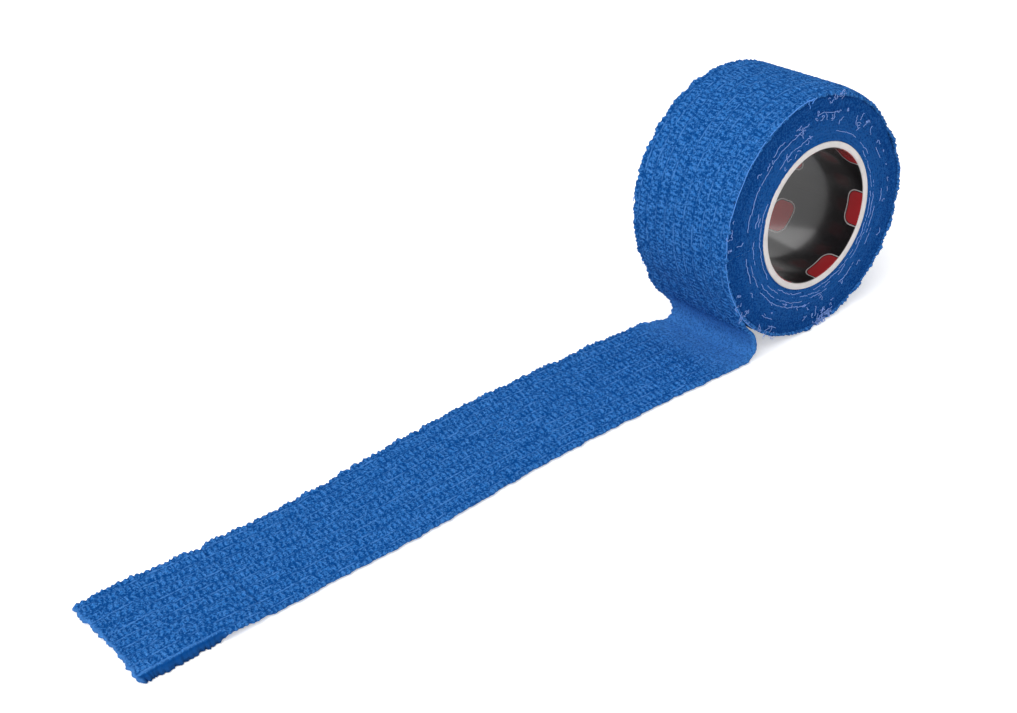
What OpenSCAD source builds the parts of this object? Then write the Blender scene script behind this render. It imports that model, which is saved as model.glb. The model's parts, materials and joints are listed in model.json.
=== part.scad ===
// Self-clinging elastic wrap on a core, with its free end unrolled on the table.
//
// The tape is two webs of crimped fabric with elastic yarns between them. It is
// wound on a tube, comes down the left of the roll, peels off low on that side,
// turns under itself in a bend and runs out to the left along the table.
// X runs along the laid tape, Y along the roll's axis, and Z is up from the table.
// The origin is on the table, below the middle of the whole object.

/* [Tape] */
// Width of the tape
tape_w = 25; // [18:0.5:38]
// Thickness of each fabric web
web_t = 0.16; // [0.12:0.01:0.24]
// Side of the square elastic yarn
yarn_t = 0.22; // [0.16:0.01:0.3]
// Number of elastic yarns across the tape
yarn_count = 10; // [6:1:14]
// Middle of the first yarn from the tape's edge
yarn_margin = 1.5; // [1:0.1:2]
// Clearance between a yarn and the web on each side of it
yarn_play = 0.02; // [0.01:0.01:0.04]

/* [Roll] */
// Half turns wound on the core, an odd number
half_turns = 31; // [21:2:41]
// Gap between one turn and the next
turn_gap = 0.05; // [0.03:0.01:0.1]
// Gap between the core and the first turn
core_seat = 0.02; // [0.01:0.01:0.05]

/* [Core] */
// Outer diameter of the core tube
core_d = 29.5; // [24:0.5:38]
// Wall of the core tube
core_wall = 1.2; // [0.8:0.1:2]
// Thickness of the liner inside the core
liner_t = 0.15; // [0.1:0.05:0.4]
// Clearance between the liner and the core
liner_play = 0.02; // [0.01:0.01:0.05]
// How far each end of the liner stops short of the core's end
liner_inset = 0.25; // [0:0.05:1]

/* [Bend] */
// Angle from straight below the roll to where the tape peels off
peel_angle = 46; // [42:1:60]
// Radius of the bend's upper arc, at the middle of the tape
bend_upper_r = 5; // [3.5:0.1:5.5]
// Laid tape that moves with the bend
bend_lead = 4; // [2:0.5:10]
// Clearance between the peeled tape and the turning roll
peel_gap = 0.3; // [0.2:0.05:0.6]

/* [Laid tape] */
// Length of the laid tape from the bend to the free end
laid_l = 127; // [90:1:180]
// Length of the free end that lifts
lift_l = 18; // [10:1:30]
// Gap between stretches of tape that move apart
part_gap = 0.1; // [0.05:0.01:0.2]

/* [Hidden] */

$fn = 96;

web_colour = "#2368b4";
back_colour = "#1d58a0";
yarn_colour = "#86aee0";
core_colour = "#e8e4e2";
liner_colour = "#1b1b1d";

// Depths are measured from the back of the tape, the side that faces the core.
yarn_depth = web_t + yarn_play;
face_depth = yarn_depth + yarn_t + yarn_play;
tape_t = face_depth + web_t;

pitch = tape_t + turn_gap;
coil_in_r = core_d / 2 + core_seat;
coil_out_r = coil_in_r + (half_turns - 1) * pitch / 2 + tape_t;
// Half turns are centred by turns on the axis and this far off it, towards where
// the tape came on, so that each one runs smoothly into the next.
wind_shift = pitch / 2;
wind_dir = 90 - peel_angle;
axis_z = coil_out_r - wind_shift * (1 + cos(peel_angle));

// The bend's two arcs meet where the tape points straight down, at bend_z.
peel_r = coil_out_r + peel_gap + tape_t / 2;
bend_z = axis_z - (peel_r + bend_upper_r) * cos(peel_angle);
bend_lower_r = bend_z - tape_t / 2;
axis_to_upper = (peel_r + bend_upper_r) * sin(peel_angle);
axis_to_lower = axis_to_upper - bend_upper_r + bend_lower_r;

// The origin is below the middle of the whole object's length.
left_reach = axis_to_lower + laid_l;
right_reach = coil_out_r - wind_shift * (1 - cos(wind_dir));
axis_x = (left_reach - right_reach) / 2;

bend_upper_x = axis_x - axis_to_upper;
bend_lower_x = axis_x - axis_to_lower;
laid_x = bend_lower_x - bend_lead;
lift_x = bend_lower_x - laid_l + lift_l;
end_x = bend_lower_x - laid_l;

// Turns a piece drawn in the XY plane up to face the front, +Y going away.
module from_front() {
    rotate([90, 0, 0])
        children();
}

// A part turn of a strip, from one angle to another, round the drawing's origin.
module arc_strip(from_a, to_a, in_r, thick, across, width) {
    rotate([0, 0, from_a])
        rotate_extrude(angle = to_a - from_a)
            translate([in_r, across - width / 2])
                square([thick, width]);
}

// A flat strip on the table, from one X to another.
module flat_strip(from_x, to_x, depth, thick, across, width) {
    translate([from_x, across - width / 2, depth])
        cube([to_x - from_x, width, thick]);
}

// One layer of the wound tape.
module coil_layer(depth, thick, across, width) {
    translate([axis_x, 0, axis_z])
        from_front()
            for (k = [0 : half_turns - 1])
                translate((k % 2) * wind_shift * [cos(wind_dir), sin(wind_dir), 0])
                    arc_strip(wind_dir + 180 * (k % 2), wind_dir + 180 * (k % 2) + 180,
                              coil_in_r + k * pitch / 2 + depth, thick, across, width);
}

// One layer of the bend between the roll and the table.
module bend_layer(depth, thick, across, width) {
    out = tape_t / 2 - depth - thick;
    translate([bend_upper_x, 0, bend_z])
        from_front()
            arc_strip(0, wind_dir, bend_upper_r + out, thick, across, width);
    translate([bend_lower_x, 0, bend_z])
        from_front()
            arc_strip(-90, 0, bend_lower_r + out, thick, across, width);
    flat_strip(laid_x, bend_lower_x, depth, thick, across, width);
}

module laid_layer(depth, thick, across, width) {
    flat_strip(lift_x, laid_x - part_gap, depth, thick, across, width);
}

module end_layer(depth, thick, across, width) {
    flat_strip(end_x, lift_x - part_gap, depth, thick, across, width);
}

// Middle of each yarn across the tape.
function yarn_across() = [
    for (i = [0 : yarn_count - 1])
        -tape_w / 2 + yarn_margin + i * (tape_w - 2 * yarn_margin) / (yarn_count - 1)
];

// A tube along the roll's axis.
module tube(out_r, wall, length) {
    translate([axis_x, 0, axis_z])
        from_front()
            difference() {
                cylinder(r = out_r, h = length, center = true);
                cylinder(r = out_r - wall, h = length + 1, center = true);
            }
}

module core_tube() {
    color(core_colour)
        tube(core_d / 2, core_wall, tape_w);
}

module core_liner() {
    color(liner_colour)
        tube(core_d / 2 - core_wall - liner_play, liner_t, tape_w - 2 * liner_inset);
}

module coil_back_web() {
    color(back_colour)
        coil_layer(0, web_t, 0, tape_w);
}

module coil_elastic_yarns() {
    color(yarn_colour)
        for (y = yarn_across())
            coil_layer(yarn_depth, yarn_t, y, yarn_t);
}

module coil_face_web() {
    color(web_colour)
        coil_layer(face_depth, web_t, 0, tape_w);
}

module bend_back_web() {
    color(back_colour)
        bend_layer(0, web_t, 0, tape_w);
}

module bend_elastic_yarns() {
    color(yarn_colour)
        for (y = yarn_across())
            bend_layer(yarn_depth, yarn_t, y, yarn_t);
}

module bend_face_web() {
    color(web_colour)
        bend_layer(face_depth, web_t, 0, tape_w);
}

module laid_back_web() {
    color(back_colour)
        laid_layer(0, web_t, 0, tape_w);
}

module laid_elastic_yarns() {
    color(yarn_colour)
        for (y = yarn_across())
            laid_layer(yarn_depth, yarn_t, y, yarn_t);
}

module laid_face_web() {
    color(web_colour)
        laid_layer(face_depth, web_t, 0, tape_w);
}

module end_back_web() {
    color(back_colour)
        end_layer(0, web_t, 0, tape_w);
}

module end_elastic_yarns() {
    color(yarn_colour)
        for (y = yarn_across())
            end_layer(yarn_depth, yarn_t, y, yarn_t);
}

module end_face_web() {
    color(web_colour)
        end_layer(face_depth, web_t, 0, tape_w);
}

core_tube();
core_liner();
coil_back_web();
coil_elastic_yarns();
coil_face_web();
bend_back_web();
bend_elastic_yarns();
bend_face_web();
laid_back_web();
laid_elastic_yarns();
laid_face_web();
end_back_web();
end_elastic_yarns();
end_face_web();
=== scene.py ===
"""Looks of an elastic hand wrap: a roll of self-clinging tape on a lined core, with its free end laid out."""

import json
import logging
import math
from dataclasses import dataclass, field
from enum import Enum
from functools import reduce
from typing import Any, Callable, Sequence

import bpy
import numpy as np
from mathutils import Matrix, Vector


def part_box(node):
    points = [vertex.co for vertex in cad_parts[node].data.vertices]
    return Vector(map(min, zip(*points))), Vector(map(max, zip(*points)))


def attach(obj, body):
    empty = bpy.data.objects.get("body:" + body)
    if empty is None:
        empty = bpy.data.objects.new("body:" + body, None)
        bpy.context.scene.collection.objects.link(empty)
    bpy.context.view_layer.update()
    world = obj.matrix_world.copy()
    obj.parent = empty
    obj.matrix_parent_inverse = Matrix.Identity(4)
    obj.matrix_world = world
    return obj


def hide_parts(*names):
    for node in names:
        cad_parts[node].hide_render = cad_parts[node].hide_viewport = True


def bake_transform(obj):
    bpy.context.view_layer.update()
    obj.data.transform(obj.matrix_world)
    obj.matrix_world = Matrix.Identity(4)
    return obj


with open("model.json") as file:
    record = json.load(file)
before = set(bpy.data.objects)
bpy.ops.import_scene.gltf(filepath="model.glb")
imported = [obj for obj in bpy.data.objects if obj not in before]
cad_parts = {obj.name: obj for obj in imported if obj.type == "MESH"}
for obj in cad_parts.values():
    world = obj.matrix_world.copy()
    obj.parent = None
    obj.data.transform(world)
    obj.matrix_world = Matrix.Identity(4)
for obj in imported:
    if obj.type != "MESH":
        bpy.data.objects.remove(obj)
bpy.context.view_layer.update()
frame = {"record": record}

MM = 0.001
YARNS = 10
log = logging.getLogger("hand_wrap")

Socket = bpy.types.NodeSocket
Colour = tuple[float, float, float]


class Body(str, Enum):
    """The bodies that pieces ride on."""

    LAID = "laid_tape"
    BEND = "bend"
    ROLL = "roll"
    END = "free_end"


class Side(Enum):
    """The two flat faces of the roll, by the way that they look along Y."""

    FRONT = -1
    BACK = 1


def smooth(t: Any) -> Any:
    """Returns t eased from 0 to 1, flat at both ends, for a number or an array."""
    t = np.clip(t, 0.0, 1.0)
    return t * t * (3 - 2 * t)


def arc_length(points: np.ndarray) -> float:
    """Returns the length of a line through points."""
    return float(np.linalg.norm(np.diff(points, axis=0), axis=1).sum())


# ---- node trees


def operator(operation: str, swapped: bool = False) -> Callable[..., "Term"]:
    """Makes one of the sums that a Term takes part in.

    Args:
        operation: The Math node's operation.
        swapped: Whether the Term stands second.

    Returns:
        The method, which adds the node to the Term's tree.
    """
    def method(self: "Term", *others: Any) -> "Term":
        values = (self, *others)
        return self.graph.math(operation, *(reversed(values) if swapped else values))
    return method


@dataclass(frozen=True)
class Term:
    """A value that nodes work out, used in sums like a number."""

    graph: "Graph"
    socket: Socket
    __add__ = operator("ADD")
    __sub__ = operator("SUBTRACT")
    __rsub__ = operator("SUBTRACT", swapped=True)
    __mul__ = operator("MULTIPLY")
    __truediv__ = operator("DIVIDE")
    __pow__ = operator("POWER")
    __abs__ = operator("ABSOLUTE")


class Graph:
    """Adds nodes to one tree and joins them."""

    def __init__(self, tree: bpy.types.NodeTree) -> None:
        """Keeps the tree.

        Args:
            tree: The geometry or shader tree to fill.
        """
        self.tree = tree

    def add(self, kind: str, **settings: Any) -> bpy.types.Node:
        """Adds a node.

        Args:
            kind: The node's type name.
            **settings: Properties of the node itself.

        Returns:
            The new node.
        """
        node = self.tree.nodes.new(kind)
        for name, value in settings.items():
            setattr(node, name, value)
        return node

    def feed(self, socket: Socket, value: Any) -> None:
        """Links value to socket if nodes work it out, or else sets it as the socket's constant."""
        if isinstance(value, Term):
            self.tree.links.new(value.socket, socket)
        else:
            socket.default_value = value

    def call(self, kind: str, inputs: dict[Any, Any], out: Any = 0, **settings: Any) -> Term:
        """Adds a node, feeds its inputs and gives one output.

        Args:
            kind: The node's type name.
            inputs: Input name or number to value.
            out: Name or number of the output that is wanted.
            **settings: Properties of the node itself.

        Returns:
            The output.
        """
        node = self.add(kind, **settings)
        for key, value in inputs.items():
            self.feed(node.inputs[key], value)
        return Term(self, node.outputs[out])

    def math(self, operation: str, *values: Any) -> Term:
        """Returns the result of a Math node on one or two values."""
        return self.call("ShaderNodeMath", dict(enumerate(values)), operation=operation)

    def most(self, *values: Any) -> Term:
        """Returns the largest of two or more values."""
        return reduce(lambda a, b: self.math("MAXIMUM", a, b), values)

    def least(self, *values: Any) -> Term:
        """Returns the smallest of two or more values."""
        return reduce(lambda a, b: self.math("MINIMUM", a, b), values)

    def vector(self, operation: str, *values: Any) -> Term:
        """Returns the vector result of a Vector Math node."""
        return self.call("ShaderNodeVectorMath", dict(enumerate(values)), operation=operation)

    def scaled(self, vector: Any, factor: Any) -> Term:
        """Returns vector times a number."""
        return self.call("ShaderNodeVectorMath", {0: vector, "Scale": factor}, operation="SCALE")

    def total(self, *vectors: Any) -> Term:
        """Returns the sum of two or more vectors."""
        return reduce(lambda a, b: self.vector("ADD", a, b), vectors)

    def noise(self, vector: Any, size: float, detail: float = 2.0) -> Term:
        """Returns noise from 0 to 1 whose grains are about size metres across."""
        return self.call("ShaderNodeTexNoise", {"Vector": vector, "Scale": 1 / size, "Detail": detail})

    def eased(self, value: Any, low: float, high: float) -> Term:
        """Returns value as a smooth step from 0 at low to 1 at high."""
        inputs = {"Value": value, "From Min": low, "From Max": high}
        return self.call("ShaderNodeMapRange", inputs, interpolation_type="SMOOTHSTEP")

    def xyz(self, vector: Any) -> tuple[Term, Term, Term]:
        """Returns the three parts of a vector."""
        node = self.add("ShaderNodeSeparateXYZ")
        self.feed(node.inputs[0], vector)
        return Term(self, node.outputs[0]), Term(self, node.outputs[1]), Term(self, node.outputs[2])

    def from_xyz(self, **parts: Any) -> Term:
        """Returns a vector of the parts X, Y and Z that are given, and 0 for the rest."""
        return self.call("ShaderNodeCombineXYZ", parts)


class GeometryTree(Graph):
    """A geometry tree with named inputs, run once on an object and turned into a plain mesh."""

    def __init__(self, name: str, inputs: dict[str, Any]) -> None:
        """Makes the tree and its inputs.

        Args:
            name: The tree's name.
            inputs: Each input's name and its value, whose type sets the socket's.
        """
        super().__init__(bpy.data.node_groups.new(name, "GeometryNodeTree"))
        self.values = inputs
        self.identifiers: dict[str, str] = {}
        face = self.tree.interface
        face.new_socket("Geometry", in_out="INPUT", socket_type="NodeSocketGeometry")
        face.new_socket("Geometry", in_out="OUTPUT", socket_type="NodeSocketGeometry")
        kinds = {int: "NodeSocketInt", float: "NodeSocketFloat", bpy.types.Material: "NodeSocketMaterial"}
        for label, value in inputs.items():
            socket = face.new_socket(label, in_out="INPUT", socket_type=kinds[type(value)])
            self.identifiers[label] = socket.identifier
        self.entry = self.add("NodeGroupInput")
        self.exit = self.add("NodeGroupOutput")

    def given(self, label: str) -> Term:
        """Returns the value of a named input."""
        return Term(self, self.entry.outputs[label])

    def chance(self, number: Any, seed: Any) -> Term:
        """Returns a random value from 0 to 1 for each whole number."""
        return self.call("FunctionNodeRandomValue", {"ID": number, "Seed": seed}, 1, data_type="FLOAT")

    def moved(self, place: Term, way: Any, distance: Term) -> Term:
        """Returns place moved along the direction way by distance."""
        return self.total(place, self.scaled(way, distance))

    def store(self, geometry: Term, **values: Any) -> Term:
        """Returns the geometry with named numbers on its points."""
        for name, value in values.items():
            geometry = self.call("GeometryNodeStoreNamedAttribute", {
                "Geometry": geometry, "Name": name, "Value": value}, data_type="FLOAT", domain="POINT")
        return geometry

    def finish(self, geometry: Term) -> None:
        """Ends the tree: instances become real, the faces are smoothed and the material is set."""
        real = self.call("GeometryNodeRealizeInstances", {"Geometry": geometry})
        soft = self.call("GeometryNodeSetShadeSmooth", {0: real})
        dressed = self.call("GeometryNodeSetMaterial", {"Geometry": soft, "Material": self.given("Material")})
        self.feed(self.exit.inputs[0], dressed)

    def run(self, name: str, base: bpy.types.Mesh) -> bpy.types.Object:
        """Runs the tree on a base mesh.

        Args:
            name: The name of the finished piece.
            base: The mesh that the tree starts from.

        Returns:
            An object at the origin with the finished plain mesh and no modifier.
        """
        piece = new_object(name, base)
        modifier = piece.modifiers.new("shape", "NODES")
        modifier.node_group = self.tree
        for label, value in self.values.items():
            modifier[self.identifiers[label]] = value
        graph = bpy.context.evaluated_depsgraph_get()
        mesh = bpy.data.meshes.new_from_object(piece.evaluated_get(graph))
        piece.modifiers.clear()
        piece.data = mesh
        mesh.name = name
        bpy.data.meshes.remove(base)
        return piece


def new_object(name: str, mesh: bpy.types.Mesh) -> bpy.types.Object:
    """Returns a new object at the origin, in the scene, that shows mesh."""
    piece = bpy.data.objects.new(name, mesh)
    bpy.context.scene.collection.objects.link(piece)
    return piece


def wire(lines: Sequence[np.ndarray], closed: bool = False, **values: np.ndarray) -> bpy.types.Mesh:
    """Makes a mesh of edges through points, which a geometry tree reads as curves.

    Args:
        lines: For each curve, N by 3 places in metres.
        closed: Whether each curve's last point joins its first.
        **values: Named numbers, one for each point.

    Returns:
        The mesh.
    """
    edges: list[tuple[int, int]] = []
    first = 0
    for line in lines:
        last = first + len(line) - 1
        edges += [(i, i + 1) for i in range(first, last)]
        if closed:
            edges.append((last, first))
        first = last + 1
    mesh = bpy.data.meshes.new("wire")
    mesh.from_pydata([tuple(p) for line in lines for p in line], edges, [])
    for name, numbers in values.items():
        mesh.attributes.new(name, "FLOAT", "POINT").data.foreach_set("value", numbers)
    return mesh


# ---- finishes


class Shader(Graph):
    """A material's tree with its Principled shader."""

    def __init__(self, name: str, slot: str) -> None:
        """Makes the material.

        Args:
            name: The material's name.
            slot: The record's slot that it gives the finish of.
        """
        self.material = bpy.data.materials.new(name)
        self.material.use_nodes = True
        super().__init__(self.material.node_tree)
        self.slot = slot
        self.principled = self.tree.nodes["Principled BSDF"]
        self.place = self.call("ShaderNodeTexCoord", {}, "Object")

    def set(self, **values: Any) -> None:
        """Sets or links the Principled shader's sockets, by name with _ for a space."""
        for name, value in values.items():
            self.feed(self.principled.inputs[name.replace("_", " ")], value)

    def blend(self, factor: Any, first: Any, second: Any) -> Term:
        """Returns the colour first mixed with second by factor."""
        node = self.add("ShaderNodeMix", data_type="RGBA")
        self.feed(node.inputs["Factor"], factor)
        for socket, value in ((node.inputs[6], first), (node.inputs[7], second)):
            self.feed(socket, value if isinstance(value, Term) else (*value, 1.0))
        return Term(self, node.outputs[2])

    def bump(self, height: Any, depth: float) -> Term:
        """Returns a normal bumped by height, from 0 to 1 over depth metres."""
        return self.call("ShaderNodeBump", {"Height": height, "Distance": depth, "Strength": 1.0})

    def attribute(self, name: str) -> Term:
        """Returns a named number of the mesh."""
        return self.call("ShaderNodeAttribute", {}, "Fac", attribute_name=name)

    def between(self, low: float, high: float, share: Any) -> Term:
        """Returns low where share is 0 and high where it is 1."""
        return self.call("ShaderNodeMapRange", {"Value": share, "To Min": low, "To Max": high})


@dataclass(frozen=True)
class WebFinish:
    """Crimped nonwoven with fine fibres, painted pale on the puckers as painted light and deep in the folds
    as painted shade.
    """

    name: str
    shaded_valley: Colour
    lit_crest: Colour
    fibre: Colour
    slot: str = "face_web"
    fibre_share: float = 0.62
    yarn_share: float = 0.6
    rough: float = 0.95
    shine: float = 0.06
    depth: float = 0.16 * MM
    mottle_size: float = 0.9 * MM
    grain_size: float = 0.36 * MM
    fibre_size: float = 0.55 * MM
    fibre_wide: float = 0.03

    def make(self) -> bpy.types.Material:
        """Returns the material."""
        shade = Shader(self.name, self.slot)
        mottle = shade.noise(shade.place, self.mottle_size, 3.0) - 0.5
        grain = shade.noise(shade.place, self.grain_size) - 0.5
        # Painted shade and light: the colour follows the height, deep in the folds and pale on the puckers,
        # with random mottle and grain; the fibres show mostly on the pale puckers.
        lift = shade.attribute("relief") * 0.85 + mottle * 0.9 + grain * 2.6
        body = shade.blend(shade.eased(lift, 0.05, 0.85), self.shaded_valley, self.lit_crest)
        fibres = self.fibres(shade) * shade.eased(lift, 0.0, 0.7)
        amount = shade.most(fibres * self.fibre_share, self.yarns(shade) * self.yarn_share,
                            shade.attribute("pale"))
        shade.set(Base_Color=shade.blend(amount, body, self.fibre), Roughness=self.rough,
                  Specular_IOR_Level=self.shine)
        shade.set(Normal=shade.bump(grain * 0.8 + fibres * 0.3 + mottle * 0.8, self.depth))
        return shade.material

    def fibres(self, shade: Shader) -> Term:
        """Returns 1 on thin crossing fibres and 0 between them."""
        layers = []
        for turn, size in ((0.35, 0.9), (-0.6, 1.1), (1.3, 1.0)):
            turned = shade.call("ShaderNodeMapping", {
                "Vector": shade.place, "Rotation": (turn, turn * 1.7, turn * 0.6), "Scale": (1.0, 0.28, 1.0)})
            strand = shade.noise(turned, size * self.fibre_size, 1.5)
            layers.append(1.0 - shade.eased(abs(strand - 0.5), 0.0, self.fibre_wide))
        return shade.most(*layers)

    def yarns(self, shade: Shader) -> Term:
        """Returns 1 where a taut yarn shows as a thin broken line along the tape."""
        off = abs(shade.math("FRACT", shade.attribute("across")) - 0.5)
        wander = (shade.noise(shade.place, 1.5 * MM) - 0.5) * 0.16
        broken = shade.eased(shade.noise(shade.place, 2.2 * MM, 3.0), 0.38, 0.62)
        return shade.eased(off + wander, 0.41, 0.48) * broken


@dataclass(frozen=True)
class LintFinish:
    """Loose fibre pulled out of the tape's edges, and the pale thread that is a painted highlight on the
    outer turn's front rim.
    """

    name: str
    colour: Colour
    slot: str = "elastic_yarn"

    def make(self) -> bpy.types.Material:
        """Returns the material."""
        shade = Shader(self.name, self.slot)
        mottle = shade.noise(shade.place, 1.2 * MM, 2.0)
        pale = tuple(min(1.0, c * 1.5) for c in self.colour)
        shade.set(Base_Color=shade.blend(mottle, self.colour, pale), Roughness=0.8, Specular_IOR_Level=0.2)
        return shade.material


@dataclass(frozen=True)
class CoreFinish:
    """Moulded off-white tube, satin, with a trace of grain and handling marks."""

    colour: Colour = (0.78, 0.735, 0.725)
    slot: str = "core"

    def make(self) -> bpy.types.Material:
        """Returns the material."""
        shade = Shader("core_off_white", self.slot)
        mottle = shade.noise(shade.place, 3.0 * MM, 4.0)
        grain = shade.noise(shade.place, 0.25 * MM, 2.0)
        worn = tuple(c * 0.88 for c in self.colour)
        shade.set(Base_Color=shade.blend(shade.eased(mottle, 0.35, 0.8), self.colour, worn),
                  Roughness=shade.between(0.38, 0.55, mottle),
                  Normal=shade.bump(grain, 0.02 * MM), Subsurface_Weight=0.08)
        shade.set(Subsurface_Radius=(0.002, 0.0015, 0.001), Subsurface_Scale=0.3)
        return shade.material


@dataclass(frozen=True)
class LinerFinish:
    """Gloss black sleeve with a row of plain red blocks in a pale outline near each end."""

    black: Colour = (0.006, 0.005, 0.006)
    red: Colour = (0.33, 0.018, 0.022)
    pale: Colour = (0.42, 0.38, 0.38)
    slot: str = "liner"
    blocks: int = 6
    block_long: float = 6.6 * MM
    block_wide: float = 4.8 * MM
    row_middle: float = -3.0 * MM
    row_gap: float = 17.2 * MM
    corner: float = 1.6 * MM
    outline: float = 0.28 * MM
    soft: float = 0.04 * MM

    def make(self, axis: Vector, radius: float) -> bpy.types.Material:
        """Makes the material.

        Args:
            axis: A point on the sleeve's axis, which runs along Y.
            radius: The sleeve's inner radius.

        Returns:
            The material.
        """
        shade = Shader("liner_gloss_black", self.slot)
        x, along, z = shade.xyz(shade.vector("SUBTRACT", shade.place, (axis.x, 0.0, axis.z)))
        turn = shade.math("ARCTAN2", z, x) * (self.blocks / math.tau)
        turn = turn + shade.math("SIGN", along) * 0.25
        u = (shade.math("FRACT", turn) - 0.5) * (math.tau * radius / self.blocks)
        v = abs(along - self.row_middle) - self.row_gap / 2
        past_u = shade.most(abs(u) - (self.block_long / 2 - self.corner), 0.0)
        past_v = shade.most(abs(v) - (self.block_wide / 2 - self.corner), 0.0)
        away = shade.math("SQRT", past_u * past_u + past_v * past_v)
        inside = shade.eased(away, self.corner + self.soft, self.corner - self.soft)
        rim = shade.eased(abs(away - (self.corner + self.outline)), 0.15 * MM, 0.07 * MM)
        ink = shade.blend(rim, shade.blend(inside, self.black, self.red), self.pale)
        wave = shade.noise(shade.place, 6 * MM, 1.0)
        scuff = shade.noise(shade.place, 0.6 * MM, 3.0)
        shade.set(Base_Color=ink, Specular_IOR_Level=0.6, Coat_Weight=0.7, Coat_Roughness=0.12,
                  Roughness=shade.between(0.16, 0.26, scuff),
                  Normal=shade.bump(wave, 0.05 * MM))
        return shade.material


# ---- sizes from the frame


@dataclass(frozen=True)
class TapeSizes:
    """Sizes of the tape, read from the frame."""

    width: float
    thick: float
    yarn_gap: float
    yarn_margin: float

    @staticmethod
    def read() -> "TapeSizes":
        """Returns the sizes that the laid stretch shows."""
        web_low, web_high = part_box("laid_back_web")
        yarn_low, yarn_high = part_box("laid_elastic_yarns")
        face_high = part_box("laid_face_web")[1]
        width = web_high[1] - web_low[1]
        margin = yarn_low[1] - web_low[1] + (yarn_high[2] - yarn_low[2]) / 2
        return TapeSizes(width, face_high[2] - web_low[2], (width - 2 * margin) / (YARNS - 1), margin)


@dataclass(frozen=True)
class RollSizes:
    """Where the roll is and how big, read from the frame."""

    axis: Vector
    out_r: float
    core_r: float
    liner_in_r: float
    core_half: float
    liner_half: float

    @staticmethod
    def read() -> "RollSizes":
        """Returns the roll's sizes."""
        core_low, core_high = (Vector(c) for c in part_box("core_tube"))
        liner_low, liner_high = (Vector(c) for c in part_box("core_liner"))
        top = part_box("coil_face_web")[1][2]
        axis = (core_low + core_high) / 2
        bore = next(m for m in frame["record"]["mounts"] if m["name"] == "core_bore")
        return RollSizes(axis, top - axis.z, (core_high.x - core_low.x) / 2,
                         bore["dims"]["r_mm"] * MM, (core_high.y - core_low.y) / 2,
                         (liner_high.y - liner_low.y) / 2)

    def ring(self, radius: Any, angles: np.ndarray, y: Any) -> np.ndarray:
        """Returns points round the roll's axis at angles from +X towards +Z, radius out and y along."""
        return np.stack([self.axis.x + radius * np.cos(angles), y + 0 * angles,
                         self.axis.z + radius * np.sin(angles)], 1)


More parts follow.
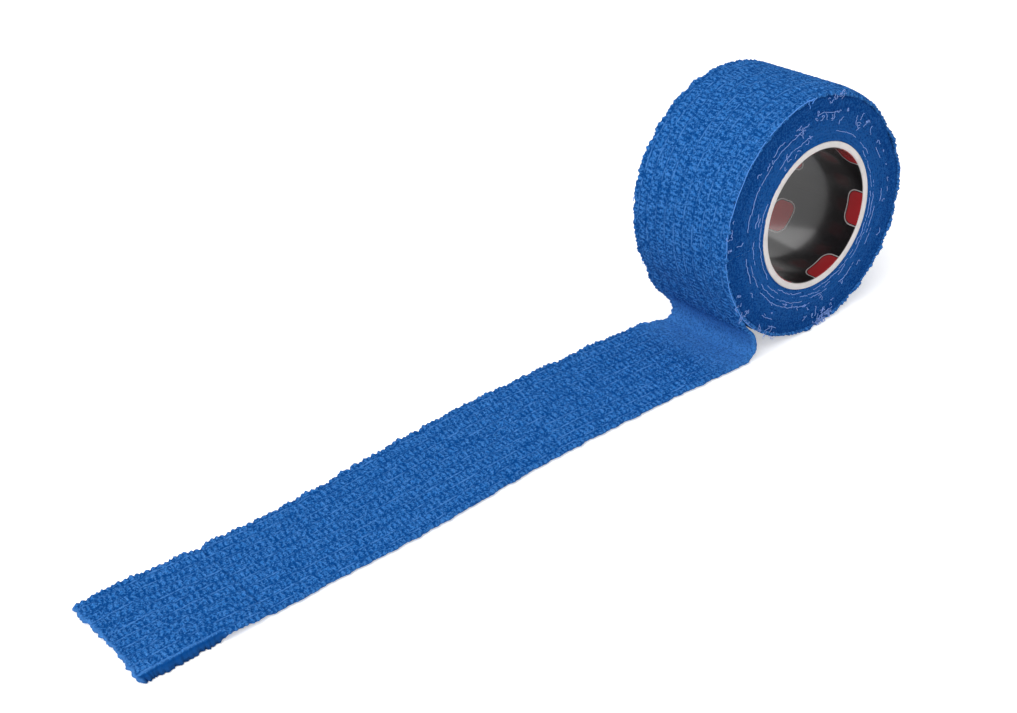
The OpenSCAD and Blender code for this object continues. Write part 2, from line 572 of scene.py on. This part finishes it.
@dataclass
class TapePath:
    """The middle line of the tape from where it lifts off the roll to its free end.

    The tape comes down on the roll's left, turns under itself and runs out along the table.
    """

    tape: TapeSizes
    roll: RollSizes
    peel: float = math.radians(46)
    merge: float = math.radians(26)
    upper_r: float = 5 * MM
    spare: float = 1.4 * MM
    step: float = 0.3 * MM
    hidden_depth: float = 0.85 * MM
    waist: float = 2.0 * MM
    neck: float = 0.08
    neck_at: float = 94
    lift: float = 0.9 * MM
    sag: float = 1.2 * MM
    points: np.ndarray = field(init=False)
    smooth_and_lit: np.ndarray = field(init=False)
    pinch: np.ndarray = field(init=False)

    def __post_init__(self) -> None:
        """Works out the points, from the roll to the free end."""
        end_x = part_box("end_back_web")[0][0]
        bend_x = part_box("bend_back_web")[1][0]
        half = self.tape.thick / 2
        down = np.array([-math.sin(self.peel), -math.cos(self.peel)])
        axis = np.array([self.roll.axis.x, self.roll.axis.z])
        turn_x = bend_x - half - self.upper_r
        reach = (axis[0] - turn_x) / math.sin(self.peel)
        peel_r = reach - self.upper_r
        upper = axis + down * reach
        lower_r = upper[1] - half
        lower = np.array([upper[0] + self.upper_r - lower_r, upper[1]])
        angles = np.linspace(self.peel + self.merge, self.peel, 40, endpoint=False)
        share = smooth((self.peel + self.merge - angles) / self.merge)
        radii = (self.roll.out_r - half - self.hidden_depth) * (1 - share) + peel_r * share
        run = [np.stack([axis[0] - radii * np.sin(angles), axis[1] - radii * np.cos(angles)], 1)]
        angles = np.linspace(math.pi / 2 - self.peel, 0, 24, endpoint=False)
        run.append(upper + self.upper_r * np.stack([np.cos(angles), np.sin(angles)], 1))
        angles = np.linspace(0, -math.pi / 2, 24, endpoint=False)
        run.append(lower + lower_r * np.stack([np.cos(angles), np.sin(angles)], 1))
        self.laid_from = lower[0]
        xs = np.arange(lower[0], end_x - self.spare, -self.step)
        run.append(np.stack([xs, np.full(len(xs), half)], 1))
        flat = np.concatenate(run)
        run_out = np.concatenate([[0.0], np.cumsum(np.linalg.norm(np.diff(flat, axis=0), axis=1))])
        peel_at, laid_at = run_out[len(run[0])], run_out[sum(len(part) for part in run[:3])]
        # Over the bend the tape is pulled smooth; the same share also paints light onto the bend, which lies
        # in shade.
        self.smooth_and_lit = 0.6 * smooth((run_out - peel_at + 1 * MM) / (3 * MM)) * smooth(
            (laid_at + 9 * MM - run_out) / (9 * MM))
        self.pinch = self.waist * smooth((run_out - peel_at + 1 * MM) / (5 * MM)) * smooth(
            (laid_at + 5 * MM - run_out) / (8 * MM))
        drift = self.drift(self.laid_from - flat[:, 0]) - self.pinch / 2
        self.points = np.stack([flat[:, 0], drift, flat[:, 1]], 1)

    def drift(self, distance: np.ndarray) -> np.ndarray:
        """Returns how far the tape's middle lies off the roll's, by its distance from the bend."""
        out = np.maximum(distance, 0.0) / MM
        sway = 3.1 + 0.5 * np.cos((out - 47) * math.tau / 76)
        return ((1 - np.exp(-out / 14)) * sway + 0.4 * smooth((out - 108) / 15)) * MM

    def values(self, part: slice) -> dict[str, np.ndarray]:
        """Works out how the tape changes along its length.

        Args:
            part: Which of the path's points.

        Returns:
            For each point its width over the plain width, how far its near side is lifted, how far its near
            edge turns down, and how smooth it is pulled, which also paints light onto the bend where it lies
            in shade.
        """
        points = self.points[part]
        out = np.where(points[:, 2] < self.tape.thick, self.laid_from - points[:, 0], 0.0) / MM
        wide = 1 + 0.03 * smooth(out / 6) - self.neck * np.exp(-((out - self.neck_at) / 17) ** 2)
        wide = wide - 0.015 * smooth((out - 104) / 1.2) - self.pinch[part] / self.tape.width
        return {"wide": wide, "lift": self.lift * smooth((out - 102) / 12),
                "sag": self.sag * smooth((out - 112) / 2.5), "smooth_and_lit": self.smooth_and_lit[part]}


# ---- the tape's surface


@dataclass
class TapeSurface:
    """The crimped sheet that follows a path: puckers between the yarns, and a toothed edge."""

    tape: TapeSizes
    material: bpy.types.Material
    closed: bool = False
    offset: float = 0.0
    round_start: bool = True
    round_end: bool = True
    step: float = 0.3 * MM
    pucker: float = 1.0 * MM
    height: float = 0.32 * MM
    wander: float = 1.8
    near_tooth: float = 0.24 * MM
    far_tooth: float = 0.55 * MM
    sag_reach: float = 1.3 * MM
    crest_shade: float = 1300.0
    tooth_size: float = 1.3 * MM
    scallop_size: float = 2.6 * MM
    scallop_reach: float = 3 * MM
    lift_reach: float = 20 * MM
    wander_size: float = 3 * MM
    rough_size: float = 0.65 * MM
    bead: float = 0.45 * MM
    end_bow: float = 0.0
    seed: int = 3

    def build(self, name: str, points: np.ndarray, values: dict[str, np.ndarray]) -> bpy.types.Object:
        """Makes the sheet.

        Args:
            name: The piece's name.
            points: The path of the sheet's middle, N by 3 in metres.
            values: For each point "wide", "lift", "sag" and "calm".

        Returns:
            The finished piece.
        """
        tree = GeometryTree(name + "_shape", {
            "Width": self.tape.width, "Thickness": self.tape.thick, "Step": self.step,
            "Pucker Length": self.pucker, "Pucker Height": self.height, "Wander": self.wander,
            "Near Tooth": self.near_tooth, "Far Tooth": self.far_tooth,
            "Yarn Gap": self.tape.yarn_gap, "Yarn Margin": self.tape.yarn_margin,
            "Offset": self.offset, "Round Start": float(self.round_start), "Round End": float(self.round_end),
            "Closed": float(self.closed), "Sag Reach": self.sag_reach, "Crest Shade": self.crest_shade,
            "End Bow": self.end_bow, "Seed": self.seed, "Material": self.material})
        self.grow(tree)
        return tree.run(name, wire([points], self.closed, **values))

    def grow(self, tree: GeometryTree) -> None:
        """Fills the tree that lays a puckered sheet along its curve."""
        given = tree.given
        curve = tree.call("GeometryNodeMeshToCurve", {"Mesh": given("Geometry")})
        length = tree.call("GeometryNodeCurveLength", {"Curve": curve})
        columns = tree.math("ROUND", length / given("Step")) + 1.0
        spare = length / (columns - 1.0)
        # One column more at each end folds up to close the sheet where its rim is not rounded.
        grid = tree.call("GeometryNodeMeshGrid", {
            "Size X": length + spare * 2.0, "Size Y": given("Width"), "Vertices X": columns + 2.0,
            "Vertices Y": tree.math("ROUND", given("Width") / given("Step")) + 1.0})
        x, y, _ = tree.xyz(tree.call("GeometryNodeInputPosition", {}))
        reach = x + length * 0.5
        along = tree.most(tree.least(reach, length), 0.0)
        kept = tree.most(tree.math("LESS_THAN", abs(reach - along), spare * 0.5), given("Closed"))
        samples = [self.sampled(tree, curve, along, name) for name in ("wide", "lift", "sag", "smooth_and_lit")]
        wide, lift, sag, smooth_and_lit = (Term(tree, sample.outputs["Value"]) for sample in samples)
        middle, tangent = (Term(tree, samples[0].outputs[name]) for name in ("Position", "Tangent"))
        side = (0.0, 1.0, 0.0)
        normal = tree.vector("NORMALIZE", tree.vector("CROSS_PRODUCT", side, tangent))
        half_width = given("Width") * 0.5
        inside = half_width - abs(y)
        left = length - along
        from_near = y + half_width
        flat = tree.moved(middle, side, y * wide)
        relief, ridge = self.relief(tree, along, y, flat)
        # The bend is pulled smooth; its height and colour are raised, as painted light where it lies in
        # shade.
        relief = relief * (1.0 - smooth_and_lit) + smooth_and_lit * 0.8
        # The two edges are toothed, and the far one is scalloped too.
        far = tree.math("GREATER_THAN", y, 0.0)
        swing = ridge * 0.5 + tree.noise(flat, self.tooth_size) * 2.2 - 1.35
        tooth = far * given("Far Tooth") + (1.0 - far) * (given("Near Tooth") + lift * 0.4)
        bite = swing * tooth * tree.eased(inside, self.tooth_size, 0.0)
        scallop = (tree.noise(flat, self.scallop_size, 1.0) - 0.5) * 3.2
        scallop = scallop * tree.most(far * given("Far Tooth"), given("Near Tooth"))
        bite = bite + scallop * tree.eased(inside, self.scallop_reach, 0.0)
        flat = tree.moved(flat, side, bite * tree.math("SIGN", y))
        # The cut end is bowed, with longer corners and small nicks.
        share = y / half_width
        nick = (tree.noise(flat, 1.2 * MM, 1.0) - 0.5) * 1.6
        cut = (1.0 - share * share) + (abs(share) ** 16.0 * 1.4 + nick)
        cut = cut * given("End Bow") * tree.eased(left, 4 * MM, 0.0)
        flat = tree.moved(flat, tangent, cut * -1.0)
        # The near side lifts, and its edge turns down and in.
        droop = sag * (1.0 - tree.least(from_near / given("Sag Reach"), 1.0) ** 0.6)
        hump = lift * tree.eased(from_near, self.lift_reach, 0.0) - droop
        flat = tree.moved(flat, normal, hump)
        flat = tree.moved(flat, side, sag * 0.45 * tree.eased(from_near, 2 * MM, 0.0))
        rim = self.rim(tree, along, left, inside)
        half = given("Thickness") * 0.5
        rise = (half + relief * given("Pucker Height")) * rim * kept
        fall = half * rim * kept * -1.0
        # Painted highlights make the edges, the cut end and the turned edge's crest paler, painted light
        # makes the smooth stretch paler where it lies in shade, and painted shade darkens the turned-down
        # near edge.
        lit_crest = sag * (given("Crest Shade") * 0.3) * tree.eased(abs(from_near - 1.2 * MM), 0.4 * MM, 0.0)
        pale = tree.most(tree.eased(inside, 0.5 * MM, 0.1 * MM) * 0.12, lit_crest, smooth_and_lit * 0.42,
                         tree.eased(left, 0.8 * MM, 0.2 * MM) * 0.5 * given("Round End"))
        # Painted shade on the near edge where it turns down.
        shaded = sag * given("Crest Shade") * tree.eased(from_near, 0.9 * MM, 0.5 * MM)
        marked = tree.store(grid, relief=relief - shaded, pale=pale,
                            across=(from_near - given("Yarn Margin")) / given("Yarn Gap"))
        layers = [tree.call("GeometryNodeSetPosition", {
            "Geometry": marked, "Position": tree.moved(flat, normal, height)})
            for height in (rise, fall)]
        layers[1] = tree.call("GeometryNodeFlipFaces", {"Mesh": layers[1]})
        both = tree.add("GeometryNodeJoinGeometry")
        for layer in layers:
            tree.feed(both.inputs[0], layer)
        tree.finish(tree.call("GeometryNodeMergeByDistance", {
            "Geometry": Term(tree, both.outputs[0]), "Distance": 1e-6}))

    def sampled(self, tree: GeometryTree, curve: Term, along: Term, name: str) -> bpy.types.Node:
        """Returns a node that reads the curve, and a named value on it, at a distance along it."""
        sample = tree.add("GeometryNodeSampleCurve", mode="LENGTH", data_type="FLOAT")
        value = tree.call("GeometryNodeInputNamedAttribute", {"Name": name}, data_type="FLOAT")
        for socket, wanted in (("Curves", curve), ("Length", along), ("Value", value)):
            tree.feed(sample.inputs[socket], wanted)
        return sample

    def relief(self, tree: GeometryTree, along: Term, y: Term, place: Term) -> tuple[Term, Term]:
        """Works out the puckers.

        Args:
            tree: The tree to add to.
            along: Distance along the tape.
            y: Distance across the tape from its middle.
            place: The place of each point before it is raised.

        Returns:
            The height from 0 to about 1, and the bare ridge before it fades at the yarns.
        """
        given = tree.given
        turn = (y - (given("Yarn Margin") - given("Width") * 0.5)) / given("Yarn Gap")
        column = tree.math("FLOOR", turn)
        across = turn - column
        turns = (along + given("Offset")) / given("Pucker Length")
        wander = (tree.noise(place, self.wander_size) - 0.5) * given("Wander")
        slant = (across - 0.5) * 0.5
        phase = turns + tree.chance(column, given("Seed")) + (wander + slant)
        ridge = (tree.math("SINE", phase * math.tau) * 0.5 + 0.5) ** 0.7
        arch = abs(tree.math("SINE", across * math.pi)) ** 0.6
        rough = tree.noise(place, self.rough_size) - 0.5
        return ridge * arch * 0.9 + rough * 1.3, ridge

    def rim(self, tree: GeometryTree, along: Term, left: Term, inside: Term) -> Term:
        """Returns how thick the sheet is, from 0 at its rim to 1, rounded like a bead."""
        start = along + (1.0 - tree.given("Round Start"))
        end = left + (1.0 - tree.given("Round End"))
        near = tree.most(tree.least(tree.least(inside, start, end) / self.bead, 1.0), 0.0)
        return tree.math("SQRT", near * (2.0 - near))


def wandering(rng: np.random.Generator, count: int, stretch: int) -> np.ndarray:
    """Returns count random numbers of about -1 to 1 that change smoothly, over stretch numbers or so."""
    knots = rng.standard_normal(count // stretch + 3)
    return np.interp(np.arange(count) / stretch, np.arange(len(knots)), knots) * 0.7


@dataclass
class Thread:
    """Thin fibres that follow given lines."""

    material: bpy.types.Material
    radius: float
    sides: int = 5

    def build(self, name: str, lines: Sequence[np.ndarray]) -> bpy.types.Object:
        """Makes the fibres.

        Args:
            name: The piece's name.
            lines: The middle line of each fibre.

        Returns:
            The finished piece.
        """
        tree = GeometryTree(name + "_shape", {"Radius": self.radius, "Sides": self.sides,
                                              "Material": self.material})
        curve = tree.call("GeometryNodeMeshToCurve", {"Mesh": tree.given("Geometry")})
        outline = tree.call("GeometryNodeCurvePrimitiveCircle", {"Resolution": tree.given("Sides"),
                                                                 "Radius": tree.given("Radius")})
        tree.finish(tree.call("GeometryNodeCurveToMesh", {"Curve": curve, "Profile Curve": outline,
                                                          "Fill Caps": True}))
        return tree.run(name, wire(lines))


# ---- pieces


@dataclass
class Roll:
    """The wound tape: its outer turn, the edges of the turns on both faces, and loose lint."""

    tape: TapeSizes
    sizes: RollSizes
    tread_finish: bpy.types.Material
    side_finish: bpy.types.Material
    lint_finish: bpy.types.Material
    highlight_thread_finish: bpy.types.Material
    pitch: float = 0.63 * MM
    shoulder: float = 1.0 * MM
    settle: float = 0.3 * MM
    slack_top: tuple[float, float] = (92, 66)
    slack_low: tuple[float, float] = (-2, 28)
    ring_points: int = 720
    seed: int = 11

    def build(self) -> None:
        """Makes every piece of the roll and lets it ride on the roll's body."""
        tread = self.tread()
        faces = [self.face(side) for side in Side]
        extras = [self.rim_highlight_and_fray()]
        for side in Side:
            extras += [self.lint(side), self.pulled_threads(side)]
        for piece in [tread, *faces, *extras]:
            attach(piece, Body.ROLL.value)
            log.info("%s: %d faces", piece.name, len(piece.data.polygons))
        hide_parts("coil_face_web", "coil_elastic_yarns")
        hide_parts("coil_back_web")

    def slack(self, angle: np.ndarray) -> np.ndarray:
        """Returns how much the front edge of the outer turn droops at an angle, from 0 to 1."""
        top, low = ((np.degrees(angle) - a) / (b - a) for a, b in (self.slack_top, self.slack_low))
        return smooth(top) * smooth(low)

    def tread(self) -> bpy.types.Object:
        """Returns the outer turn, a closed band round the roll."""
        radius = self.sizes.out_r - self.tape.thick / 2 - 0.40 * MM
        angles = np.linspace(-0.72 * math.pi, 1.28 * math.pi, self.ring_points, endpoint=False)
        ring = self.sizes.ring(radius, angles, 0.0)
        ring[:, 0] += self.settle * np.cos(angles)
        ring[:, 2] += self.settle / 2
        turned = (angles + math.pi) % math.tau - math.pi
        none = np.zeros(self.ring_points)
        values = {"wide": none + 1, "lift": none, "sag": self.slack(turned) * self.shoulder, "smooth_and_lit": none}
        around = math.tau * radius
        surface = TapeSurface(self.tape, self.tread_finish, closed=True, round_start=False, round_end=False,
                              pucker=around / round(around / (1.0 * MM)), height=0.24 * MM, wander=2.3,
                              near_tooth=0.45 * MM, far_tooth=0.5 * MM, sag_reach=4.5 * MM,
                              crest_shade=0.0)
        return surface.build("outer_turn", ring, values)

    def face(self, side: Side) -> bpy.types.Object:
        """Makes one flat face of the roll, where the edges of the turns show as rings.

        Args:
            side: Which face.

        Returns:
            The piece.
        """
        name = "turn_edges_" + side.name.lower()
        tree = GeometryTree(name + "_shape", {
            "Inner Radius": self.sizes.core_r + 0.05 * MM, "Outer Radius": self.sizes.out_r - 0.55 * MM,
            "Pitch": self.pitch, "Ridge": 0.2 * MM, "Reach": self.tape.width / 2 - 0.25 * MM,
            "Facing": float(side.value), "Shoulder": self.shoulder if side is Side.FRONT else 0.0,
            "Centre X": self.sizes.axis.x, "Centre Z": self.sizes.axis.z, "Material": self.side_finish})
        self.grow_face(tree)
        return tree.run(name, wire([np.zeros((1, 3))]))

    def grow_face(self, tree: GeometryTree) -> None:
        """Fills the tree that makes a ring with a spiral of soft ridges."""
        given = tree.given
        grid = tree.call("GeometryNodeMeshGrid", {"Size X": math.tau, "Size Y": 1.0, "Vertices X": 541,
                                                  "Vertices Y": 69})
        angle, share, _ = tree.xyz(tree.call("GeometryNodeInputPosition", {}))
        share = share + 0.5
        radius = given("Inner Radius") + share * (given("Outer Radius") - given("Inner Radius"))
        top, low = (tree.eased(angle, *(math.radians(a) for a in pair))
                    for pair in (self.slack_top, self.slack_low))
        droop = top * low * given("Shoulder") * tree.eased(share, 0.35, 1.0)
        ray = tree.from_xyz(X=tree.math("COSINE", angle), Z=tree.math("SINE", angle))
        centre = tree.from_xyz(X=given("Centre X"), Z=given("Centre Z"))
        flat = tree.moved(centre, ray, radius - droop)
        wobble = (tree.noise(flat, 9 * MM) - 0.5) * 1.3
        turn = (radius - given("Inner Radius")) / given("Pitch") + angle / math.tau + wobble
        ridge = abs(tree.math("SINE", turn * math.pi)) ** 0.7
        luck = tree.chance(tree.math("FLOOR", turn), 0)
        felt = tree.noise(flat, 0.7 * MM, 3.0)
        swell = tree.noise(flat, 5 * MM)
        fade = tree.eased(share, 0.85, 0.25)
        high = ridge * 0.75 * fade + luck * 0.45 + (felt * 1.5 + swell * 1.6)
        hem = tree.eased(share, 0.93, 1.0) * (-0.3 * MM)
        depth = given("Reach") + ((high - 1.9) * given("Ridge") + hem) - droop * 0.25
        # Painted shade: the colour goes deep between the ridges of the turns, with random felt and a random
        # tone for each turn.
        tone = ridge * 0.55 * fade + (felt * 0.5 + luck * 0.25)
        marked = tree.store(grid, relief=tone, pale=0.0, across=0.0)
        place = tree.total(flat, tree.from_xyz(Y=depth * given("Facing")))
        shaped = tree.call("GeometryNodeSetPosition", {"Geometry": marked, "Position": place})
        away = tree.call("FunctionNodeCompare", {0: given("Facing"), 1: 0.0}, data_type="FLOAT",
                         operation="GREATER_THAN")
        turned = tree.call("GeometryNodeFlipFaces", {"Mesh": shaped, "Selection": away})
        tree.finish(tree.call("GeometryNodeMergeByDistance", {"Geometry": turned, "Distance": 1e-6}))

    def rim_highlight_and_fray(self) -> bpy.types.Object:
        """Returns a painted highlight along the front edge of the outer turn, made as a pale thread, and its
        frayed end.
        """
        rng = np.random.default_rng(self.seed)
        # Painted highlight: a pale thread laid along the front rim of the outer turn.
        angles = np.radians(np.arange(224, 92, -0.6))
        radius = self.sizes.out_r + (-0.22 + 0.07 * wandering(rng, len(angles), 9)) * MM
        line = self.sizes.ring(radius, angles, -self.tape.width / 2 + 0.05 * MM
                               + 0.12 * MM * wandering(rng, len(angles), 7))
        fray = [self.curl(rng, 24.5 * MM, math.radians(a), -self.tape.width / 2, 1.8 * MM, 0.5)
                for a in (91, 92.5, 94, 96)]
        fray += [self.curl(rng, 24.4 * MM, math.radians(166), self.tape.width / 2 - 0.3 * MM, 1.6 * MM, 0.3)]
        return Thread(self.highlight_thread_finish, 0.085 * MM).build("rim_highlight_and_fray", [line, *fray])

    def pulled_threads(self, side: Side) -> bpy.types.Object:
        """Returns the broken pale threads that follow the turns on one face."""
        rng = np.random.default_rng(self.seed + 5 + side.value)
        arcs = ((15.7, 150, 395, 0.85), (16.5, 160, 380, 0.75), (17.4, 175, 350, 0.7), (18.4, 190, 330, 0.6),
                (17.2, 95, 165, 0.6), (19.3, 100, 200, 0.6), (20.6, 60, 160, 0.4), (21.4, 120, 250, 0.25),
                (16.6, 20, 80, 0.4), (19.0, 290, 400, 0.2), (22.6, 190, 300, 0.12))
        lines = []
        for radius, start, stop, share in arcs:
            at = float(start)
            while at < stop:
                sweep = math.degrees(rng.uniform(1.2, 6.0) / radius)
                if rng.random() < share:
                    angles = np.radians(np.arange(at, at + sweep, 1.0))
                    if len(angles) > 3:
                        wave = 0.16 * wandering(rng, len(angles), 4) + 0.05 * rng.standard_normal(len(angles))
                        depth = self.tape.width / 2 - 0.1 * MM + 0.07 * MM * wandering(rng, len(angles), 5)
                        lines.append(self.sizes.ring((radius + wave) * MM, angles, side.value * depth))
                at += sweep
        return Thread(self.lint_finish, 0.06 * MM).build("pulled_threads_" + side.name.lower(), lines)

    def lint(self, side: Side) -> bpy.types.Object:
        """Returns the short curly fibres on one face."""
        rng = np.random.default_rng(self.seed + 50 + side.value)
        y = side.value * (self.tape.width / 2 - 0.05 * MM)
        patches = ((23.9, 200, 240, 22), (23.2, 268, 280, 30), (22.0, 258, 292, 8), (20.0, 64, 112, 16),
                   (23.0, 72, 82, 9), (19.2, 50, 58, 6), (18.5, 225, 300, 12), (23.7, 150, 176, 6),
                   (16.8, 90, 130, 8), (20.5, 0, 360, 20))
        lines = []
        for radius, start, stop, count in patches:
            for _ in range(count):
                angle = math.radians(rng.uniform(start, stop))
                at = (radius + rng.normal(0, 0.35)) * MM
                lines.append(self.curl(rng, at, angle, y, rng.uniform(0.8, 2.6) * MM, 0.75))
        return Thread(self.lint_finish, 0.055 * MM).build("face_lint_" + side.name.lower(), lines)

    def curl(self, rng: np.random.Generator, radius: float, angle: float, y: float, length: float,
             bend: float) -> np.ndarray:
        """Makes one curly fibre that lies on a face.

        Args:
            rng: Where the random numbers come from.
            radius: How far from the roll's axis it starts.
            angle: Where round the roll it starts.
            y: Where it lies along the roll's axis.
            length: Its length.
            bend: How sharply it turns from step to step, in radians.

        Returns:
            Its points.
        """
        step = 0.16 * MM
        count = max(5, int(length / step))
        heading = angle + math.pi / 2 + rng.normal(0, 0.7) + np.cumsum(rng.normal(0, bend, count))
        x = self.sizes.axis.x + radius * math.cos(angle) + np.cumsum(np.cos(heading)) * step
        z = self.sizes.axis.z + radius * math.sin(angle) + np.cumsum(np.sin(heading)) * step
        out = np.abs(0.12 * MM * wandering(rng, count, 5)) * math.copysign(1, y)
        return np.stack([x, y + out, z], 1)


@dataclass
class Strip:
    """The unrolled tape: the bend and the laid stretch, and the free end that lifts."""

    tape: TapeSizes
    path: TapePath
    finish: bpy.types.Material

    def build(self) -> None:
        """Makes the two pieces, the bend with the laid stretch and the free end."""
        hinge_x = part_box("laid_back_web")[0][0]
        split_x = hinge_x + 4 * MM
        split = int(np.argmax(self.path.points[:, 0] < split_x))
        run_part, tip_part = slice(0, split), slice(split - 1, None)
        run, tip = self.path.points[run_part], self.path.points[tip_part]
        laid = TapeSurface(self.tape, self.finish, round_end=False).build(
            "laid_stretch", run, self.path.values(run_part))
        end = TapeSurface(self.tape, self.finish, offset=arc_length(run), round_start=False,
                          end_bow=0.9 * MM).build("free_end_stretch", tip, self.path.values(tip_part))
        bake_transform(laid)
        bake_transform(end)
        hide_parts("laid_back_web", "laid_elastic_yarns", "laid_face_web",
                    "bend_back_web", "bend_elastic_yarns", "bend_face_web")
        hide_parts("end_back_web", "end_elastic_yarns", "end_face_web")
        for piece, points in ((laid, run), (end, tip)):
            arc_length(points)
            log.info("%s: %d faces", piece.name, len(piece.data.polygons))


@dataclass
class Core:
    """The tube that the tape is wound on and the gloss sleeve inside it."""

    sizes: RollSizes

    def build(self) -> None:
        """Makes the tube and the sleeve."""
        tube_in = self.sizes.liner_in_r + 0.15 * MM
        tube = self.ring("core_ring", self.sizes.core_r, tube_in, self.sizes.core_half, 0.22 * MM)
        sleeve = self.ring("liner_sleeve", tube_in + 0.005 * MM, self.sizes.liner_in_r,
                           self.sizes.liner_half, 0.05 * MM)
        tube.data.materials.append(CoreFinish().make())
        sleeve.data.materials.append(LinerFinish().make(self.sizes.axis, self.sizes.liner_in_r))
        for piece, node, slot in ((tube, "core_tube", "core"), (sleeve, "core_liner", "liner")):
            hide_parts(node)
            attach(piece, Body.ROLL.value)
            log.info("%s: %d faces", piece.name, len(piece.data.polygons))

    def ring(self, name: str, out_r: float, in_r: float, half: float, round_r: float) -> bpy.types.Object:
        """Makes a tube with rounded ends by turning its outline about the roll's axis.

        Args:
            name: The piece's name.
            out_r: Outer radius.
            in_r: Inner radius.
            half: Half the length along Y.
            round_r: Radius of the rounded corners.

        Returns:
            The piece.
        """
        outer, inner, end = out_r - round_r, in_r + round_r, half - round_r
        outline = []
        for number, (radius, y) in enumerate(((outer, end), (inner, end), (inner, -end), (outer, -end))):
            for k in range(5):
                a = math.radians(90 * number + 22.5 * k)
                outline.append((radius + round_r * math.cos(a), y + round_r * math.sin(a)))
        steps, count = 192, len(outline)
        axis, turns = self.sizes.axis, [math.tau * i / steps for i in range(steps)]
        verts = [(axis.x + r * math.cos(a), y, axis.z + r * math.sin(a)) for a in turns for r, y in outline]
        faces = []
        for i in range(steps):
            here, there = i * count, (i + 1) % steps * count
            faces += [(here + k, here + (k + 1) % count, there + (k + 1) % count, there + k)
                      for k in range(count)]
        mesh = bpy.data.meshes.new(name)
        mesh.from_pydata(verts, [], faces)
        mesh.shade_smooth()
        return new_object(name, mesh)


# ---- the studio


@dataclass
class Studio:
    """A plain pale floor, soft light and the camera."""

    azimuth: float = -35.32
    elevation: float = 31.63
    roll: float = -6.46
    distance: float = 0.2622
    focal_share: float = 1.4595
    target: Vector = field(default_factory=lambda: Vector((-0.00552, 0.0, 0.01835)))

    def build(self) -> None:
        """Makes the floor, the lamps, the world and the camera."""
        self.floor()
        self.lamp("key", (-0.60, -0.30, 0.75), 0.7, 6.4)
        self.lamp("fill", (0.5, -0.6, 0.4), 0.7, 1.2)
        self.lamp("top", (-0.1, 0.3, 0.9), 0.8, 3.0)
        self.world()
        self.camera()
        bpy.context.scene.view_settings.view_transform = "Standard"

    def floor(self) -> None:
        """Lays a large pale floor that keeps the object's shadow and glows a little to the camera."""
        mesh = bpy.data.meshes.new("floor")
        half, low = 0.55, -0.25 * MM
        mesh.from_pydata([(-half, -half, low), (half, -half, low), (half, half, low), (-half, half, low)],
                         [], [(0, 1, 2, 3)])
        floor = new_object("floor", mesh)
        shade = Shader("floor_white", "")
        shade.set(Base_Color=(0.92, 0.92, 0.92, 1.0), Roughness=0.9)
        seen = shade.call("ShaderNodeLightPath", {}, "Is Camera Ray")
        glow = shade.call("ShaderNodeEmission", {"Strength": seen * 0.45})
        lit = Term(shade, shade.principled.outputs[0])
        both = shade.call("ShaderNodeAddShader", {0: lit, 1: glow})
        shade.feed(shade.tree.nodes["Material Output"].inputs["Surface"], both)
        mesh.materials.append(shade.material)

    def lamp(self, name: str, place: Sequence[float], size: float, power: float) -> None:
        """Hangs a square area lamp that looks at the object's middle."""
        data = bpy.data.lights.new(name, "AREA")
        data.size = size
        data.energy = power
        lamp = bpy.data.objects.new(name, data)
        lamp.location = place
        lamp.rotation_euler = (Vector((0, 0, 0.02)) - Vector(place)).to_track_quat("-Z", "Y").to_euler()
        bpy.context.scene.collection.objects.link(lamp)

    def world(self) -> None:
        """Sets an even pale sky that the camera sees as white."""
        world = bpy.data.worlds.new("sky")
        world.use_nodes = True
        bpy.context.scene.world = world
        graph = Graph(world.node_tree)
        background = world.node_tree.nodes["Background"]
        seen = graph.most(*(graph.call("ShaderNodeLightPath", {}, f"Is {kind} Ray")
                            for kind in ("Camera", "Glossy", "Transmission")))
        graph.feed(background.inputs["Color"], (1.0, 1.0, 1.0, 1.0))
        graph.feed(background.inputs["Strength"], graph.call(
            "ShaderNodeMapRange", {"Value": seen, "To Min": 0.34, "To Max": 1.0}))

    def camera(self) -> None:
        """Places the camera by its direction, distance and tilt."""
        az, el, roll = (math.radians(a) for a in (self.azimuth, self.elevation, self.roll))
        back = Vector((math.sin(az) * math.cos(el), -math.cos(az) * math.cos(el), math.sin(el)))
        right = (-back).cross(Vector((0, 0, 1))).normalized()
        up = right.cross(-back)
        level = Matrix((right, up, back)).transposed()
        data = bpy.data.cameras.new("camera")
        data.sensor_width = 36
        data.lens = 36 * self.focal_share
        data.clip_start = 0.01
        camera = bpy.data.objects.new("camera", data)
        turned = level @ Matrix.Rotation(roll, 3, "Z")
        camera.matrix_world = Matrix.Translation(self.target + back * self.distance) @ turned.to_4x4()
        bpy.context.scene.collection.objects.link(camera)
        bpy.context.scene.camera = camera


# Each web finish's first two colours are painted shade in the folds and painted light on the crests.
WEB = WebFinish("web_blue", (0.001, 0.058, 0.250), (0.030, 0.185, 0.560), (0.100, 0.320, 0.780))
EDGES = WebFinish("web_edges_blue", (0.0, 0.045, 0.215), (0.009, 0.100, 0.370), (0.080, 0.210, 0.560),
                  slot="back_web", fibre_share=0.22, yarn_share=0.0)
LINT = LintFinish("lint_lavender", (0.20, 0.32, 0.66))
# Colour of the painted highlight thread on the outer turn's front rim and of its fray.
HIGHLIGHT_THREAD = LintFinish("rim_thread_blue", (0.08, 0.25, 0.66))


def main() -> None:
    """Builds the hand wrap piece by piece, then the studio."""
    logging.basicConfig(level=logging.INFO, format="%(name)s: %(message)s")
    tape = TapeSizes.read()
    sizes = RollSizes.read()
    web = WEB.make()
    Roll(tape, sizes, web, EDGES.make(), LINT.make(), HIGHLIGHT_THREAD.make()).build()
    Strip(tape, TapePath(tape, sizes), web).build()
    Core(sizes).build()
    Studio().build()


if __name__ == "__main__":
    main()
